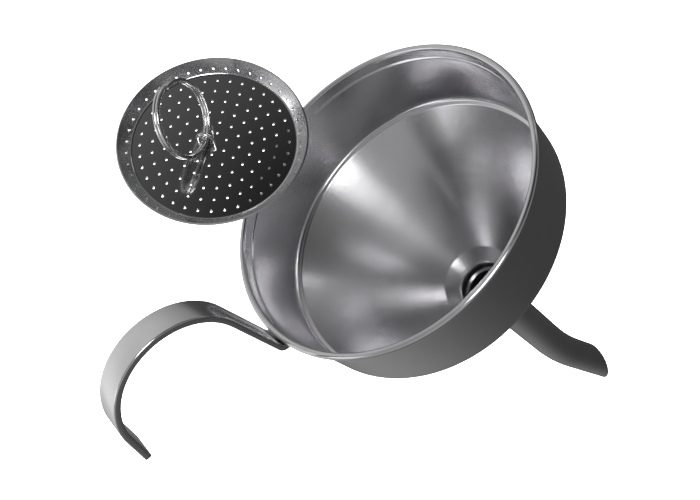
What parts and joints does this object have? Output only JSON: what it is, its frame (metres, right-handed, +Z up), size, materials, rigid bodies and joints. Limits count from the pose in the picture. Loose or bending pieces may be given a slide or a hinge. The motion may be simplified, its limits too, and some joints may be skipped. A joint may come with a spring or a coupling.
{
  "type": "decanting funnel with strainer",
  "caption": "Steel funnel with a short cylindrical bowl, a cone, a thin spout with a bent slanting tip, a strap crook handle, and a loose perforated strainer with a pull ring.",
  "frame": {"origin": "on the funnel's axis, halfway down the straight length of the spout, where a bottle's neck holds it", "axes": "+Z up along the bowl's axis, -X towards the handle, the spout's tip bends towards +X"},
  "size_m": [0.1446, 0.1, 0.2628],
  "materials": {
    "bowl_steel": "satin, spun",
    "spout_steel": "satin",
    "handle_steel": "polished faces, rolled edges",
    "strainer_steel": "mirror polished",
    "ring_steel": "bright spring steel",
    "wire_steel": "bright drawn wire",
    "braze": "dull",
    "weld": "dull"
  },
  "bodies": {
    "funnel": {"bowl_shell": "bowl_steel", "rim_wire": "wire_steel", "spout": "spout_steel", "neck_braze": "braze", "handle": "handle_steel", "handle_weld": "weld"},
    "strainer": {"strainer_dish": "strainer_steel", "ring_staple": "wire_steel"},
    "pull_ring": {"pull_ring": "ring_steel"}
  },
  "joints": [
    {"name": "strainer_lift", "type": "hinge", "parent": "funnel", "child": "strainer", "pos_m": [0.07897, -0.13963, 0.1316], "axis": [-0.8495, -0.5224, -0.0744], "range_deg": [0, 34.2]},
    {"name": "pull_ring_swing", "type": "hinge", "parent": "strainer", "child": "pull_ring", "pos_m": [-0.01567, 0.01072, 0.15888], "axis": [0.8396, 0.5432, 0], "range_deg": [-61, 114]}
  ]
}
